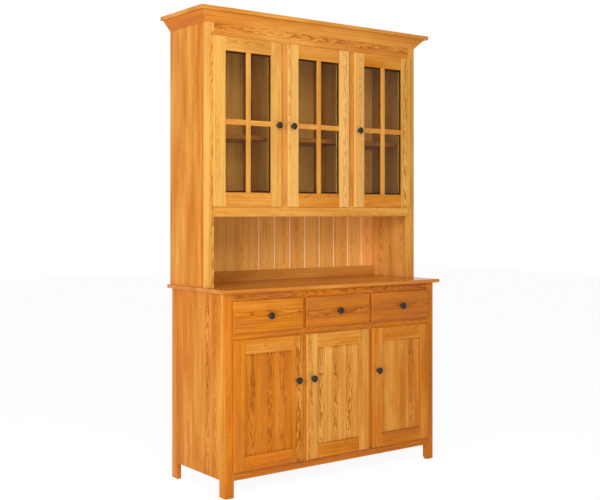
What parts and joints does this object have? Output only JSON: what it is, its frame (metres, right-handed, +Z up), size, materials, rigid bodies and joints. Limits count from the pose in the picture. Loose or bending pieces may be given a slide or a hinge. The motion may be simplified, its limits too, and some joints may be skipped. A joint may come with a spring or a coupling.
{
  "type": "kitchen hutch",
  "caption": "Oak kitchen hutch: drawers over panelled doors in the base, and a glazed cabinet over an open niche with a beaded back, under a sloping crown.",
  "frame": {"origin": "on the floor, under the middle of the whole with its knobs, halfway across its width and depth", "axes": "+Z up; the doors and drawers face -Y; +X to the right for someone facing the doors"},
  "size_m": [1.388, 0.4994, 2.171],
  "materials": {
    "oak": "semi-gloss lacquer over honey-stained red oak",
    "box_wood": "clear matt lacquer over pale hardwood",
    "glass": "clear",
    "bronze": "dark oil-rubbed bronze",
    "steel": "nickel-plated"
  },
  "bodies": {
    "carcass": {"base_side_left": "oak", "base_side_right": "oak", "base_stiles": "oak", "base_rails": "oak", "base_back": "oak", "base_partitions": "oak", "base_shelves": "oak", "counter_top": "oak", "hutch_side_left": "oak", "hutch_side_right": "oak", "hutch_stiles": "oak", "hutch_rails": "oak", "hutch_decks": "oak", "hutch_shelf": "oak", "hutch_back": "oak", "niche_rail": "oak", "crown_moulding": "oak", "crown_cap": "oak", "drawer_packers": "box_wood", "slide_channels": "steel", "hinge_arms": "steel"},
    "base_door_1": {"base_door_1_frame": "oak", "base_door_1_panel": "oak", "base_door_1_knob": "bronze", "base_door_1_cups": "steel"},
    "glass_door_1": {"glass_door_1_frame": "oak", "glass_door_1_bars": "oak", "glass_door_1_glass": "glass", "glass_door_1_knob": "bronze", "glass_door_1_cups": "steel"},
    "base_door_2": {"base_door_2_frame": "oak", "base_door_2_panel": "oak", "base_door_2_knob": "bronze", "base_door_2_cups": "steel"},
    "glass_door_2": {"glass_door_2_frame": "oak", "glass_door_2_bars": "oak", "glass_door_2_glass": "glass", "glass_door_2_knob": "bronze", "glass_door_2_cups": "steel"},
    "base_door_3": {"base_door_3_frame": "oak", "base_door_3_panel": "oak", "base_door_3_knob": "bronze", "base_door_3_cups": "steel"},
    "glass_door_3": {"glass_door_3_frame": "oak", "glass_door_3_bars": "oak", "glass_door_3_glass": "glass", "glass_door_3_knob": "bronze", "glass_door_3_cups": "steel"},
    "drawer_1": {"drawer_1_front": "oak", "drawer_1_box": "box_wood", "drawer_1_knob": "bronze", "drawer_1_runners": "steel"},
    "drawer_2": {"drawer_2_front": "oak", "drawer_2_box": "box_wood", "drawer_2_knob": "bronze", "drawer_2_runners": "steel"},
    "drawer_3": {"drawer_3_front": "oak", "drawer_3_box": "box_wood", "drawer_3_knob": "bronze", "drawer_3_runners": "steel"}
  },
  "joints": [
    {"name": "base_door_1_hinge", "type": "hinge", "parent": "carcass", "child": "base_door_1", "pos_m": [-0.5945, -0.22365, 0.4005], "axis": [0, 0, -1], "range_deg": [0, 105]},
    {"name": "glass_door_1_hinge", "type": "hinge", "parent": "carcass", "child": "glass_door_1", "pos_m": [-0.6045, -0.07665, 1.665], "axis": [0, 0, -1], "range_deg": [0, 105]},
    {"name": "base_door_2_hinge", "type": "hinge", "parent": "carcass", "child": "base_door_2", "pos_m": [0.1905, -0.22365, 0.4005], "axis": [0, 0, 1], "range_deg": [0, 105]},
    {"name": "glass_door_2_hinge", "type": "hinge", "parent": "carcass", "child": "glass_door_2", "pos_m": [0.18983, -0.07665, 1.665], "axis": [0, 0, 1], "range_deg": [0, 105]},
    {"name": "base_door_3_hinge", "type": "hinge", "parent": "carcass", "child": "base_door_3", "pos_m": [0.5945, -0.22365, 0.4005], "axis": [0, 0, 1], "range_deg": [0, 105]},
    {"name": "glass_door_3_hinge", "type": "hinge", "parent": "carcass", "child": "glass_door_3", "pos_m": [0.6045, -0.07665, 1.665], "axis": [0, 0, 1], "range_deg": [0, 105]},
    {"name": "drawer_1_slide", "type": "slide", "parent": "carcass", "child": "drawer_1", "axis": [0, -1, 0], "range_m": [0, 0.33]},
    {"name": "drawer_2_slide", "type": "slide", "parent": "carcass", "child": "drawer_2", "axis": [0, -1, 0], "range_m": [0, 0.33]},
    {"name": "drawer_3_slide", "type": "slide", "parent": "carcass", "child": "drawer_3", "axis": [0, -1, 0], "range_m": [0, 0.33]}
  ]
}
